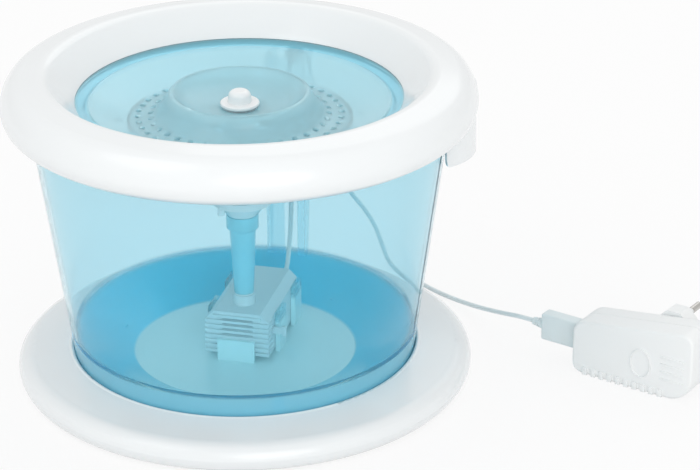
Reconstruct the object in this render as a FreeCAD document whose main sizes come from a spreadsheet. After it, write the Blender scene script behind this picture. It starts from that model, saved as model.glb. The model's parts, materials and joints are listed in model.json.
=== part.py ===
"""Pet water fountain as a parametric document: base, tub, lid, pump, cord and plug-in adapter.

Millimetres. Z is up from the table, +Y points to the cable duct at the rear, X = Y = 0 is the riser's axis.
Every driving dimension is a cell of the sheet Sizes, and the features read them through expressions.
"""
import math
import os
import re

import FreeCAD, Part, Sketcher

doc = FreeCAD.newDocument("fountain")

# Driving dimensions: alias, value or sum, meaning.
# The lid follows the tub's height, and the lid and the base follow its radius.
SIZES = [
    ("tub_root_r", 91.85, "outer radius of the tub's wall, drawn down to the table"),
    ("tub_top_z", 157.0, "top of the tub"),
    ("fit_gap", 0.3, "gap between pieces that lift or slide apart"),
    ("run_gap", 0.05, "radial running clearance of the shaft"),
    ("snug", 0.1, "radial clearance of push fits"),
    ("base_r", "=tub_root_r + 33.55", "outer radius of the saucer base"),
    ("base_rim_w", 9.6, "half width of the base's round rim"),
    ("base_rim_h", 16.2, "height of the base's round rim"),
    ("base_rim_end", 7.0, "end radius of the rim's outline"),
    ("base_wall", 2.2, "wall of the base"),
    ("base_collar_z", 18.6, "height of the collar round the tub"),
    ("base_plate_z", 8.6, "top of the base's floor plate"),
    ("base_edge_z", 1.0, "lower edge of the base"),
    ("foot_r", 5.5, "radius of a rubber foot"),
    ("foot_ring_r", "=tub_root_r + 18.15", "radius of the circle of feet"),
    ("foot_stud_r", 2.0, "radius of a foot's stud"),
    ("foot_stud_l", 4.0, "length of a foot's stud"),
    ("screw_ring_r", 72.0, "radius of the circle of screws"),
    ("screw_r", 1.45, "shank radius of a screw"),
    ("screw_head_r", 3.2, "head radius of a screw"),
    ("screw_head_l", 2.0, "head height of a screw"),
    ("screw_reach", 6.0, "length of thread in the tub's boss"),
    ("boss_r", 3.4, "radius of a screw boss"),
    ("tub_taper", 0.1373, "growth of the tub's radius per height"),
    ("tub_wall", 2.4, "wall of the tub"),
    ("floor_t", 2.2, "thickness of the tub's floor"),
    ("floor_edge_z", 30.6, "height where the conical floor meets the wall"),
    ("sump_z", 12.0, "top of the sump's floor"),
    ("sump_r", 61.0, "radius of the flat sump"),
    ("tab_t", 2.5, "thickness of a pump tab"),
    ("tab_gap", 0.4, "gap between the pump and its tabs"),
    ("front_tab_w", 20.8, "width of the front tab"),
    ("front_tab_h", 13.0, "height of the front tab"),
    ("side_tab_w", 14.0, "width of a side tab"),
    ("side_tab_h", 24.0, "height of a side tab"),
    ("duct_w", 23.4, "width of the cable duct"),
    ("duct_front_y", "=tub_root_r - 4.05", "distance of the duct's front from the axis"),
    ("duct_wall", 1.8, "wall of the duct"),
    ("duct_top_z", "=tub_top_z - 7", "top of the duct"),
    ("duct_slot_w", 8.0, "width of the slot that lets the lead in"),
    ("duct_slot_top_z", 72.0, "top of that slot"),
    ("lead_r", 1.3, "radius of the cord and of the pump lead"),
    ("exit_z", 145.6, "height of the cord's exit"),
    ("grommet_r", 3.6, "radius of the grommet's hole"),
    ("grommet_lip", 1.4, "how far the grommet's lips reach past its hole"),
    ("ring_r", "=tub_root_r + 35.55", "outer radius of the top ring"),
    ("ring_half_w", 21.4, "outer half width of the ring"),
    ("ring_mid_z", "=tub_top_z + 5.7", "height of the ring's widest line"),
    ("ring_half_h", 14.8, "half height of the ring"),
    ("ring_end", 10.0, "end radius of the ring's outline"),
    ("ring_wall", 2.4, "wall of the ring"),
    ("ring_crest_r", 6.0, "radius at the crest's inner side"),
    ("ring_lip_r", "=tub_root_r - 4.25", "inner radius of the ring's lip"),
    ("ring_foot_r", "=tub_root_r + 23.35", "inner radius of the ring's lower edge"),
    ("ring_foot_z", "=tub_top_z - 7.6", "height of the ring's lower edge"),
    ("ring_rib_r", "=tub_root_r + 15.15", "radius of the rib that rests on the tray"),
    ("hood_r", 31.0, "radius of the finger hood"),
    ("hood_place_r", "=tub_root_r + 4.15", "distance of the hood's centre from the axis"),
    ("hood_turn", 17.7, "direction of the hood"),
    ("hood_low_z", "=tub_top_z - 29", "lower edge of the hood"),
    ("hood_wall", 2.2, "wall of the hood"),
    ("dish_t", 2.0, "wall of the drinking dish"),
    ("dish_flange_z", "=tub_top_z + 4.3", "top of the dish's flange"),
    ("dish_flange_r", "=tub_root_r + 8.15", "radius of the dish's flange"),
    ("dish_band_r", "=tub_root_r - 5.35", "radius where the dish's band starts"),
    ("dish_bead_r", "=tub_root_r - 11.35", "radius of the dish's bead"),
    ("dish_valley_z", "=tub_top_z - 6", "top of the dish's perforated floor"),
    ("crater_r", 36.5, "radius of the crater's rim"),
    ("crater_z", "=tub_top_z + 8.2", "height of the crater's rim"),
    ("spout_hole_r", 9.2, "hole in the dish for the nozzle seat"),
    ("spout_hole_z", "=tub_top_z - 1.7", "height of that hole's edge"),
    ("drain_r", 1.7, "radius of a drain hole"),
    ("drain_first_r", 54.5, "radius of the outer row of drain holes"),
    ("drain_pitch", 6.8, "distance between rows of drain holes"),
    ("strainer_z", "=tub_top_z - 8.6", "top of the strainer plate"),
    ("strainer_t", 1.8, "thickness of the strainer"),
    ("strainer_r", 61.0, "radius of the strainer"),
    ("strainer_collar_r", 16.2, "radius of the strainer's collar"),
    ("strainer_collar_z", "=tub_top_z - 3.8", "top of the collar"),
    ("tray_r", "=tub_root_r - 6.65", "radius of the filter tray"),
    ("tray_z", "=tub_top_z - 22", "underside of the filter tray"),
    ("tray_t", 2.0, "wall of the filter tray"),
    ("tray_flange_r", "=tub_root_r + 20.75", "radius of the tray's flange"),
    ("tray_drain_r", 2.6, "radius of a hole in the tray"),
    ("pipe_r", 8.8, "radius of the nozzle seat's pipe"),
    ("pipe_bore_r", 5.2, "bore of the nozzle seat"),
    ("pipe_top_z", "=tub_top_z - 1.8", "top of the nozzle seat"),
    ("seat_disc_r", 17.0, "radius of the nozzle seat's lower disc"),
    ("seat_disc_z", "=tub_top_z - 56", "underside of that disc"),
    ("seat_disc_t", 4.0, "thickness of that disc"),
    ("socket_z", "=tub_top_z - 64", "top of the riser's socket"),
    ("socket_l", 7.6, "length of the riser's socket"),
    ("socket_r", 8.9, "radius of the riser's socket"),
    ("socket_bore_r", 7.2, "bore of the riser's socket"),
    ("riser_top_r", 7.2, "radius of the riser below its socket"),
    ("riser_low_r", 5.4, "radius of the riser at the pump"),
    ("riser_wall", 1.3, "wall of the riser"),
    ("cap_disc_r", 10.6, "radius of the nozzle cap's disc"),
    ("cap_disc_z", "=tub_top_z - 0.8", "underside of that disc"),
    ("cap_disc_t", 2.2, "thickness of that disc"),
    ("cap_r", 6.6, "radius of the nozzle cap's dome"),
    ("cap_h", 6.4, "height of that dome"),
    ("cap_stem_l", 12.0, "length of the cap's stem in the pipe"),
    ("pump_half_w", 17.6, "half width of the pump"),
    ("pump_front_y", -15.0, "front of the pump"),
    ("pump_split_y", -2.8, "joint between the front cover and the housing"),
    ("pump_back_y", 46.5, "back of the pump"),
    ("pump_low_z", 14.4, "underside of the pump"),
    ("pump_top_z", 39.6, "top of the pump"),
    ("pump_chamfer", 4.5, "chamfer of the pump's upper edges"),
    ("pump_wall", 1.8, "wall of the pump"),
    ("pump_plate_t", 2.0, "thickness of the pump's back plate"),
    ("rotor_z", 27.0, "height of the impeller's axis"),
    ("rotor_r", 5.8, "radius of the rotor magnet"),
    ("rotor_l", 16.0, "length of the rotor magnet"),
    ("rotor_gap", 0.5, "gap round the rotor"),
    ("well_wall", 1.2, "wall of the rotor's well"),
    ("chamber_r", 10.4, "radius of the impeller's chamber"),
    ("chamber_l", 9.0, "depth of the impeller's chamber"),
    ("vane_r", 8.8, "radius of the vanes"),
    ("vane_t", 1.2, "thickness of a vane"),
    ("shaft_r", 1.0, "radius of the impeller's shaft"),
    ("spout_r", 6.2, "radius of the pump's spout"),
    ("spout_z", 45.4, "top of the spout's collar"),
    ("nipple_r", 3.9, "radius of the nipple in the riser"),
    ("nipple_l", 8.0, "length of that nipple"),
    ("outlet_r", 2.8, "bore of the pump's outlet"),
    ("seal_t", 0.8, "thickness of the outlet seal"),
    ("rib_pitch", 3.0, "pitch of the ribs on the front cover"),
    ("rib_t", 1.5, "height of a rib"),
    ("rib_out", 1.4, "how far a rib stands out"),
    ("gate_travel", 5.0, "travel of the flow gate"),
    ("adapter_x", 177.2, "place of the adapter's near corner along X"),
    ("adapter_y", 34.6, "place of the adapter's near corner along Y"),
    ("adapter_turn", -20.8, "direction of the adapter's length"),
    ("adapter_l", 74.5, "length of the adapter"),
    ("adapter_d", 28.0, "depth of the adapter"),
    ("adapter_low_h", 31.6, "height of the adapter at the USB end"),
    ("adapter_high_h", 41.4, "height of the adapter at the plug end"),
    ("adapter_corner", 6.0, "corner radius of the adapter"),
    ("adapter_bend", 15.0, "large lower corner radius of the adapter"),
    ("adapter_wall", 2.0, "wall of the adapter"),
    ("head_s", 48.5, "place of the plug head along the adapter"),
    ("head_z", 21.9, "height of the plug head's centre"),
    ("head_w", 24.0, "width of the plug head"),
    ("head_h", 34.0, "height of the plug head"),
    ("head_d", 10.0, "depth of the plug head"),
    ("pin_r", 2.0, "radius of a plug pin"),
    ("pin_l", 19.0, "length of a plug pin"),
    ("sleeve_r", 1.8, "radius of a pin's insulating sleeve"),
    ("pin_gap", 18.6, "distance between the pins"),
    ("usb_z", 16.5, "height of the USB plug's axis"),
    ("usb_h", 16.0, "height of the USB plug as it stands on edge"),
    ("usb_d", 8.4, "thickness of the USB plug"),
    ("usb_l", 25.0, "length of the USB plug's grip"),
    ("shell_h", 12.0, "width of the USB shell"),
    ("shell_d", 4.5, "thickness of the USB shell"),
    ("shell_l", 11.8, "length of the USB shell"),
]

# Counts and directions
FOOT_TURNS = (45, 135, 225, 315)
SCREW_TURNS = (-60, 60, 180)
DRAIN_COUNTS = (42, 36, 30, 26, 22)
DISH_DRAIN_ROWS = 2
TRAY_DRAIN_ROWS = ((30, 12), (46, 18), (72, 24))
VANE_COUNT = 6
RIB_COUNT = 8
NOTCH_COUNT = 10

# Routes in real coordinates, chosen by hand: the lead inside the tub, and the free cord
LEAD_ROUTE = [(8, 44.0, 32), (8, 60, 32), (5, 80, 45), (2, 94, 62), (1, 97, 90), (1, 98, 118), (1, 98, 145.6),
              (1, 116, 145.6)]
CORD_ROUTE = [(1, 116, 145.6), (1, 128, 145.6), (4, 133, 128), (10, 131, 98), (17, 131, 72), (26, 135.4, 52),
              (34.3, 141.2, 39), (41, 145.5, 26), (45, 148.5, 12), (48.5, 148.3, 3.6), (53.5, 142.5, 1.4),
              (64.5, 130, 1.4),
              (86, 112, 1.4), (111.3, 93, 4.6), (133.7, 72, 12.5), (142.1, 63.15, 16.5), (151.4, 59.6, 16.5)]

ALIASES = {alias for alias, _value, _note in SIZES}


def fill_sheet():
    """Writes the driving dimensions into a spreadsheet, one row each."""
    page = doc.addObject("Spreadsheet::Sheet", "Sizes")
    for row, (alias, value, note) in enumerate(SIZES, start=1):
        page.set(f"A{row}", alias)
        page.set(f"B{row}", str(value))
        page.setAlias(f"B{row}", alias)
        page.set(f"C{row}", note)
    doc.recompute()
    return page


sheet = fill_sheet()


def linked(text):
    """Returns an expression in which each alias points to its cell."""
    swap = lambda word: "Sizes." + word.group() if word.group() in ALIASES else word.group()
    return re.sub(r"[A-Za-z_][A-Za-z_0-9]*", swap, str(text))


def number(text):
    """Returns the present value of an expression."""
    return float(sheet.evalExpression(linked(text)))


def bind(thing, **sizes):
    """Binds properties to expressions over the sheet."""
    for name, text in sizes.items():
        thing.setExpression(name, linked(text))
    return thing


def put(thing, x=0, y=0, z=0, axis="z"):
    """Places a primitive, its own Z turned to the named axis."""
    turns = {"z": FreeCAD.Rotation(), "y": FreeCAD.Rotation(FreeCAD.Vector(1, 0, 0), -90),
             "x": FreeCAD.Rotation(FreeCAD.Vector(0, 1, 0), 90)}
    thing.Placement = FreeCAD.Placement(FreeCAD.Vector(), turns[axis])
    for letter, text in (("x", x), ("y", y), ("z", z)):
        thing.setExpression(f"Placement.Base.{letter}", linked(text))
    return thing


def box(name, length, width, height, x=0, y=0, z=0):
    """A box from its low corner."""
    thing = bind(doc.addObject("Part::Box", name), Length=length, Width=width, Height=height)
    return put(thing, x, y, z)


def rod(name, radius, height, x=0, y=0, z=0, axis="z"):
    """A cylinder along an axis."""
    thing = bind(doc.addObject("Part::Cylinder", name), Radius=radius, Height=height)
    return put(thing, x, y, z, axis)


def taper(name, low_r, high_r, height, x=0, y=0, z=0, axis="z"):
    """A truncated cone along an axis."""
    thing = bind(doc.addObject("Part::Cone", name), Radius1=low_r, Radius2=high_r, Height=height)
    return put(thing, x, y, z, axis)


def fuse(name, *things):
    """Joins solids into one."""
    if len(things) == 1:
        return things[0]
    thing = doc.addObject("Part::MultiFuse", name)
    thing.Shapes = list(things)
    return thing


def cut(name, body, *tools):
    """Takes tools out of a body."""
    thing = doc.addObject("Part::Cut", name)
    thing.Base = body
    thing.Tool = fuse(name + "_tools", *tools)
    return thing


def overlap(name, *things):
    """Keeps what all the solids share."""
    thing = doc.addObject("Part::MultiCommon", name)
    thing.Shapes = list(things)
    return thing


def outline(holder, name, plane_role, corners):
    """A closed sketch. A corner is (x, y), or (x, y, radius, side) where an arc runs to the next corner;
    side 1 bulges to the right of the way there, and -1 to its left."""
    sketch = holder.newObject("Sketcher::SketchObject", name)
    plane = [item for item in holder.Origin.OriginFeatures if item.Role == plane_role][0]
    sketch.AttachmentSupport = [(plane, "")]
    sketch.MapMode = "FlatFace"
    count = len(corners)
    spots = [FreeCAD.Vector(number(corner[0]), number(corner[1]), 0) for corner in corners]
    starts = []
    ends = []
    for index, corner in enumerate(corners):
        here, there = spots[index], spots[(index + 1) % count]
        if len(corner) == 2:
            sketch.addGeometry(Part.LineSegment(here, there), False)
            starts.append(1)
            ends.append(2)
            continue
        radius, side = number(corner[2]), corner[3]
        chord = there - here
        right = FreeCAD.Vector(chord.y, -chord.x, 0).normalize()
        depth = math.sqrt(radius ** 2 - (chord.Length / 2) ** 2)
        centre = (here + there) * 0.5 - right * depth * side
        first, last = (here, there) if side > 0 else (there, here)
        angles = [math.atan2(spot.y - centre.y, spot.x - centre.x) for spot in (first, last)]
        circle = Part.Circle(centre, FreeCAD.Vector(0, 0, 1), radius)
        sketch.addGeometry(Part.ArcOfCircle(circle, angles[0], angles[1]), False)
        starts.append(1 if side > 0 else 2)
        ends.append(2 if side > 0 else 1)
    for index, corner in enumerate(corners):
        after = (index + 1) % count
        sketch.addConstraint(Sketcher.Constraint("Coincident", index, ends[index], after, starts[after]))
        for kind, line, text in (("DistanceX", -2, corner[0]), ("DistanceY", -1, corner[1])):
            if str(text) == "0":
                sketch.addConstraint(Sketcher.Constraint("PointOnObject", index, starts[index], line))
                continue
            made = sketch.addConstraint(Sketcher.Constraint(kind, -1, 1, index, starts[index], number(text)))
            sketch.setExpression(f"Constraints[{made}]", linked(text))
        if len(corner) > 2:
            made = sketch.addConstraint(Sketcher.Constraint("Radius", index, number(corner[2])))
            sketch.setExpression(f"Constraints[{made}]", linked(corner[2]))
    return sketch


def turned(name, corners):
    """A body turned about Z from an outline of (radius, height) corners."""
    body = doc.addObject("PartDesign::Body", name)
    sketch = outline(body, name + "_outline", "XZ_Plane", corners)
    feature = body.newObject("PartDesign::Revolution", name + "_turned")
    feature.Profile = sketch
    feature.ReferenceAxis = (sketch, ["V_Axis"])
    feature.Angle = 360
    sketch.Visibility = False
    return body


def slab(name, corners, depth):
    """A body padded along +Y from an outline of (x, z) corners."""
    body = doc.addObject("PartDesign::Body", name)
    sketch = outline(body, name + "_outline", "XZ_Plane", corners)
    feature = body.newObject("PartDesign::Pad", name + "_pad")
    feature.Profile = sketch
    feature.Reversed = True
    bind(feature, Length=depth)
    return body


def around(radius, turn):
    """Expressions for a place on a circle."""
    return f"({radius}) * cos(({turn}) * 1 deg)", f"({radius}) * sin(({turn}) * 1 deg)"


def ring_of(name, count, radius, maker, first=0):
    """Copies a piece round the axis: maker takes a name, x and y."""
    made = []
    for index in range(count):
        turn = first + 360 * index / count
        made.append(maker(f"{name}{index}", *around(radius, round(turn, 4))))
    return made


def oval(mid_r, mid_z, half_w, half_h, end_r):
    """Radius and meeting place of the two arcs of a quarter of an oval, as expressions."""
    side = f"(({half_w}) - ({end_r}))"
    big = f"((({half_w})^2 + ({half_h})^2 - 2 * ({half_w}) * ({end_r})) / (2 * (({half_h}) - ({end_r}))))"
    meet_r = f"({mid_r}) + {side} + ({end_r}) * {side} / ({big} - ({end_r}))"
    rise = f"({end_r}) * ({big} - ({half_h})) / ({big} - ({end_r}))"
    return big, meet_r, f"({mid_z}) + {rise}", f"({mid_z}) - {rise}"


def pipe_along(route, radius):
    """A solid tube along straight runs joined by tangent arcs."""
    spots = [FreeCAD.Vector(*spot) for spot in route]
    edges = []
    start = spots[0]
    tightest = 1e9
    for before, corner, after in zip(spots, spots[1:], spots[2:]):
        way_in = (corner - before).normalize()
        way_out = (after - corner).normalize()
        half_turn = way_in.getAngle(way_out) / 2
        reach = 0.45 * min((corner - before).Length, (after - corner).Length)
        tightest = min(tightest, reach / math.tan(half_turn))
        arc_start, arc_end = corner - way_in * reach, corner + way_out * reach
        towards = (way_out - way_in).normalize()
        bend = reach / math.tan(half_turn)
        middle = corner + towards * (math.hypot(bend, reach) - bend)
        edges.append(Part.makeLine(start, arc_start))
        edges.append(Part.Arc(arc_start, middle, arc_end).toShape())
        start = arc_end
    edges.append(Part.makeLine(start, spots[-1]))
    spine = Part.Wire(edges)
    disc = Part.Wire(Part.makeCircle(radius, spots[0], spots[1] - spots[0]))
    shell = spine.makePipeShell([disc], True, True)
    print("route: length %.1f mm, least bend radius %.1f mm" % (spine.Length, tightest))
    return shell


# Nodes: what is exported, in this order
NODES = []


def node(label, *things, with_adapter=False):
    """Names a finished piece, and turns it into the adapter's frame if asked."""
    if len(things) > 1 or with_adapter:
        group = doc.addObject("Part::Compound", label + "_node")
        group.Links = list(things)
        if with_adapter:
            bind(group, **{"Placement.Base.x": "adapter_x", "Placement.Base.y": "adapter_y",
                           "Placement.Rotation.Angle": "adapter_turn"})
        thing = group
    else:
        thing = things[0]
    thing.Label = label
    NODES.append(thing)
    return thing


def tub_radius(height, inset=0):
    """Outer radius of the tub's wall at a height, less an inset."""
    return f"(tub_root_r + tub_taper * ({height}) - ({inset}))"


# Base
def make_base():
    big, meet_r, meet_z, _low = oval("base_r - base_rim_w", "base_rim_h / 2", "base_rim_w",
                                     "base_rim_h / 2", "base_rim_end")
    inner = "base_rim_end - base_wall"
    collar = tub_radius("base_collar_z", "-fit_gap")
    root = tub_radius("base_plate_z", "-fit_gap")
    tray = turned("base_shell", [
        (0, "base_plate_z - base_wall"), (root, "base_plate_z - base_wall"),
        (f"{collar} + base_wall + 0.4", "base_collar_z - base_wall - 0.6"),
        ("base_r - base_rim_w", "base_rim_h - base_wall", f"{big} - base_wall", -1),
        (f"{meet_r} - base_wall * 0.42", f"{meet_z} - base_wall * 0.9", inner, -1),
        ("base_r - base_wall", "base_rim_h / 2"), ("base_r - base_wall - 3.4", "base_edge_z"),
        ("base_r - 4", "base_edge_z", "base_rim_end + 2", 1), ("base_r", "base_rim_h / 2", "base_rim_end", 1),
        (meet_r, meet_z, big, 1), ("base_r - base_rim_w", "base_rim_h"),
        (f"{collar} + 2.6", "base_collar_z", "1.6", 1), (f"{collar}", "base_collar_z - 0.8"),
        (root, "base_plate_z"), (0, "base_plate_z")])
    bosses = []
    sockets = []
    for turn in FOOT_TURNS:
        x, y = around("foot_ring_r", turn)
        bosses.append(rod(f"foot_boss{turn}", "foot_r - 1", "base_rim_h - base_wall - base_edge_z + 0.6",
                          x, y, "base_edge_z"))
        sockets.append(rod(f"foot_socket{turn}", "foot_stud_r + snug", "foot_stud_l + 0.4", x, y,
                           "base_edge_z"))
    holes = []
    for turn in SCREW_TURNS:
        x, y = around("screw_ring_r", turn)
        holes.append(rod(f"screw_hole{turn + 60}", "screw_r + 0.35", "base_wall + 2", x, y,
                         "base_plate_z - base_wall - 1"))
    node("base_tray", cut("base_tray_cut", fuse("base_fused", tray, *bosses), *sockets, *holes))

    feet = []
    for turn in FOOT_TURNS:
        x, y = around("foot_ring_r", turn)
        pad = rod(f"foot_pad{turn}", "foot_r", "base_edge_z", x, y, 0)
        stud = rod(f"foot_stud{turn}", "foot_stud_r", "foot_stud_l", x, y, "base_edge_z")
        feet.append(fuse(f"foot{turn}", pad, stud))
    node("base_feet", *feet)

    screws = []
    for turn in SCREW_TURNS:
        x, y = around("screw_ring_r", turn)
        mark = turn + 60
        head_z = "base_plate_z - base_wall - screw_head_l"
        head = rod(f"screw_head{mark}", "screw_head_r", "screw_head_l", x, y, head_z)
        shank = rod(f"screw_shank{mark}", "screw_r", "screw_head_l + base_wall + screw_reach", x, y, head_z)
        slot_x = box(f"screw_slot_a{mark}", 3.6, 0.8, 1, f"{x} - 1.8", f"{y} - 0.4", f"{head_z} - 0.2")
        slot_y = box(f"screw_slot_b{mark}", 0.8, 3.6, 1, f"{x} - 0.4", f"{y} - 1.8", f"{head_z} - 0.2")
        screws.append(cut(f"screw{mark}", fuse(f"screw_solid{mark}", head, shank), slot_x, slot_y))
    node("base_screws", *screws)


# Tub
def make_tub():
    floor_low = "sump_z - floor_t"
    shell = turned("tub_shell", [
        (0, floor_low), ("sump_r - 0.6", floor_low),
        (tub_radius("floor_edge_z", "tub_wall"), "floor_edge_z - floor_t - 0.4"),
        (tub_radius("base_plate_z", "tub_wall"), "base_plate_z"),
        (tub_radius("base_plate_z"), "base_plate_z"),
        (tub_radius("tub_top_z - 1"), "tub_top_z - 1"),
        (tub_radius("tub_top_z", "tub_wall / 2"), "tub_top_z"),
        (tub_radius("tub_top_z - 1", "tub_wall"), "tub_top_z - 1"),
        (tub_radius("floor_edge_z", "tub_wall"), "floor_edge_z"), ("sump_r", "sump_z"), (0, "sump_z")])
    bosses = []
    holes = []
    for turn in SCREW_TURNS:
        x, y = around("screw_ring_r", turn)
        bosses.append(rod(f"boss{turn + 60}", "boss_r", "sump_z - base_plate_z + 5", x, y, "base_plate_z"))
        holes.append(rod(f"boss_hole{turn + 60}", "screw_r + run_gap", "screw_reach + 0.5", x, y,
                         "base_plate_z - 0.01"))
    front = box("front_tab", "front_tab_w", "tab_t", "front_tab_h", "-front_tab_w / 2",
                "pump_front_y - rib_out - tab_gap - tab_t", "sump_z - 0.5")
    sides = []
    for mark, low_y in (("near", -2.0), ("far", 31.0)):
        for side, x in (("right", "pump_half_w + tab_gap"), ("left", "-pump_half_w - tab_gap - tab_t")):
            sides.append(box(f"tab_{mark}_{side}", "tab_t", "side_tab_w", "side_tab_h", x, low_y,
                             "sump_z - 0.5"))
    exit_hole = rod("exit_hole", "grommet_r", 20, 1, 100, "exit_z", "y")
    solid = fuse("tub_fused", shell, *bosses, front, *sides)
    node("tub", cut("tub_cut", solid, exit_hole, *holes))


def make_duct():
    outer = box("duct_outer", "duct_w", 30, "duct_top_z - sump_z", "0.5 - duct_w / 2", "duct_front_y",
                "sump_z")
    inner = box("duct_inner", "duct_w - 2 * duct_wall", 30, "duct_top_z",
                "0.5 - duct_w / 2 + duct_wall", "duct_front_y + duct_wall", 0)
    slot = box("duct_slot", "duct_slot_w", 10, "duct_slot_top_z", "3 - duct_slot_w / 2",
               "duct_front_y - 5", 0)
    flare = turned("duct_room", [
        (0, "floor_edge_z - 2 + snug"),
        (tub_radius("floor_edge_z", "tub_wall + 3.4"), "floor_edge_z - 2 + snug"),
        (tub_radius("floor_edge_z", "tub_wall + snug"), "floor_edge_z + snug"),
        (tub_radius("duct_top_z + 5", "tub_wall + snug"), "duct_top_z + 5"), (0, "duct_top_z + 5")])
    node("cable_duct", overlap("duct_fit", cut("duct_channel", outer, inner, slot), flare))

    hole_r = tub_radius("exit_z")
    groove_y = f"{hole_r} - tub_wall - 1.0"
    groove_l = "tub_wall + 2.0"
    lips = rod("grommet_lips", "grommet_r + grommet_lip", "tub_wall + 5.4", 1, f"{groove_y} - 1.7",
               "exit_z", "y")
    groove = cut("grommet_groove", rod("groove_out", "grommet_r + 3", groove_l, 1, groove_y, "exit_z", "y"),
                 rod("groove_in", "grommet_r - snug", groove_l, 1, groove_y, "exit_z", "y"))
    bore = rod("grommet_bore", "lead_r + run_gap", 30, 1, 95, "exit_z", "y")
    node("cable_grommet", cut("grommet_cut", lips, groove, bore))


# Lid
def make_ring():
    mid_r = "ring_r - ring_half_w"
    big, meet_r, high_z, low_z = oval(mid_r, "ring_mid_z", "ring_half_w", "ring_half_h", "ring_end")
    wall = "ring_wall"
    _in_big, in_r, in_high, in_low = oval(mid_r, "ring_mid_z", f"ring_half_w - {wall}",
                                          f"ring_half_h - {wall}", f"ring_end - {wall}")
    top = "ring_mid_z + ring_half_h"
    lip_z = "dish_flange_z"
    shell = turned("ring_shell", [
        (mid_r, top, "ring_crest_r", -1), (f"{mid_r} - 3.6", f"{top} - 1.2"),
        ("ring_lip_r + 1.2", f"{lip_z} + 2.6", "2.2", -1), ("ring_lip_r", lip_z), ("ring_lip_r + 4", lip_z),
        (f"{mid_r} - 3.0", f"{top} - ring_wall - 1.6"),
        (mid_r, f"{top} - {wall}", f"{big} - {wall}", 1), (in_r, in_high, f"ring_end - {wall}", 1),
        (f"ring_r - {wall}", "ring_mid_z", f"ring_end - {wall}", 1), (in_r, in_low),
        ("ring_foot_r", "ring_foot_z + ring_wall + 0.3"), ("ring_foot_r", "ring_foot_z"),
        (meet_r, low_z, "ring_end", 1), ("ring_r", "ring_mid_z", "ring_end", 1), (meet_r, high_z, big, 1)])
    rib_high = f"{top} - ring_wall / 2"
    rib = cut("ring_rib", rod("rib_out", "ring_rib_r", f"{rib_high} - dish_flange_z + dish_t", 0, 0,
                              "dish_flange_z - dish_t"),
              rod("rib_in", "ring_rib_r - 2", 40, 0, 0, "dish_flange_z - dish_t - 1"))
    x, y = around("hood_place_r", "hood_turn")
    hood_top = "ring_mid_z - hood_low_z"
    hood = cut("hood", rod("hood_out", "hood_r", hood_top, x, y, "hood_low_z"),
               rod("hood_in", "hood_r - hood_wall", f"{hood_top} - hood_wall + 5", x, y, "hood_low_z - 5"),
               rod("hood_clear", "ring_foot_r", 80, 0, 0, 100))
    node("top_ring", fuse("ring_fused", shell, rib, hood))


def drain_holes(name, rows, low_z, height):
    """Rows of drain holes, the outer row first."""
    made = []
    for row in range(rows):
        maker = lambda mark, x, y: rod(mark, "drain_r", height, x, y, low_z)
        radius = f"drain_first_r - {row} * drain_pitch"
        made += ring_of(f"{name}{row}_", DRAIN_COUNTS[row], radius, maker, 3 * row)
    return made


def make_dish():
    low = [("spout_hole_r", "spout_hole_z"), ("20", "spout_hole_z + 1.2"), ("29", "spout_hole_z + 3.6"),
           ("crater_r - 2.8", "crater_z - 2.4")]
    rise = [("crater_r + 2.6", "crater_z - 3.4"), ("crater_r + 5.6", "dish_valley_z + 5"),
            ("crater_r + 9.6", "dish_valley_z + 1.2"), ("crater_r + 14", "dish_valley_z"),
            ("drain_first_r + 3", "dish_valley_z"), ("dish_bead_r - 1.2", "dish_flange_z - 2.6"),
            ("dish_bead_r", "dish_flange_z - 1.7"), ("dish_bead_r + 1.2", "dish_flange_z - 2.5"),
            ("dish_band_r", "dish_flange_z"), ("dish_flange_r", "dish_flange_z")]
    inner = [(r, z) for r, z in low] + [("crater_r", "crater_z")] + rise
    outer = [("dish_flange_r", "dish_flange_z - dish_t"), ("dish_band_r + 0.6", "dish_flange_z - dish_t"),
             ("dish_bead_r", "dish_flange_z - 2.6 - dish_t"),
             ("drain_first_r + 3.4", "dish_valley_z - dish_t"),
             ("crater_r + 13.6", "dish_valley_z - dish_t"), ("crater_r + 8.6", "dish_valley_z + 1 - dish_t"),
             ("crater_r + 3.8", "dish_valley_z + 4.4"), ("crater_r + 0.6", "crater_z - 3.2"),
             ("crater_r - 0.8", "crater_z - 2.4"), ("crater_r - 2.2", "crater_z - 4.4"),
             ("29.6", "spout_hole_z + 1.4"), ("20.4", "spout_hole_z + 1.2 - dish_t"),
             ("spout_hole_r", "spout_hole_z - dish_t")]
    shell = turned("dish_shell", inner + outer)
    holes = drain_holes("dish_drain", DISH_DRAIN_ROWS, "dish_valley_z - 8", "16")
    node("drinking_dish", cut("dish_cut", shell, *holes))


def make_strainer():
    plate_low = "(strainer_z - strainer_t)"
    foot = "tray_z + tray_t"
    body = turned("strainer_shell", [
        ("strainer_collar_r - strainer_t", plate_low),
        ("strainer_r - strainer_t", plate_low), ("strainer_r - strainer_t", foot), ("strainer_r", foot),
        ("strainer_r", "strainer_z"), ("strainer_collar_r", "strainer_z"),
        ("strainer_collar_r", "strainer_collar_z"),
        ("strainer_collar_r - strainer_t", "strainer_collar_z")])
    holes = drain_holes("strainer_hole", len(DRAIN_COUNTS), f"{plate_low} - 2", "strainer_t + 4")
    node("strainer", cut("strainer_cut", body, *holes))

    pad_low = "(tray_z + tray_t)"
    pad = cut("pad_cut", rod("pad_disc", "strainer_r - strainer_t - fit_gap",
                             f"{plate_low} - {pad_low} - 0.2", 0, 0, pad_low),
              rod("pad_hole", "strainer_collar_r + 0.6", 30, 0, 0, f"{pad_low} - 5"))
    node("filter_pad", pad)


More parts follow.
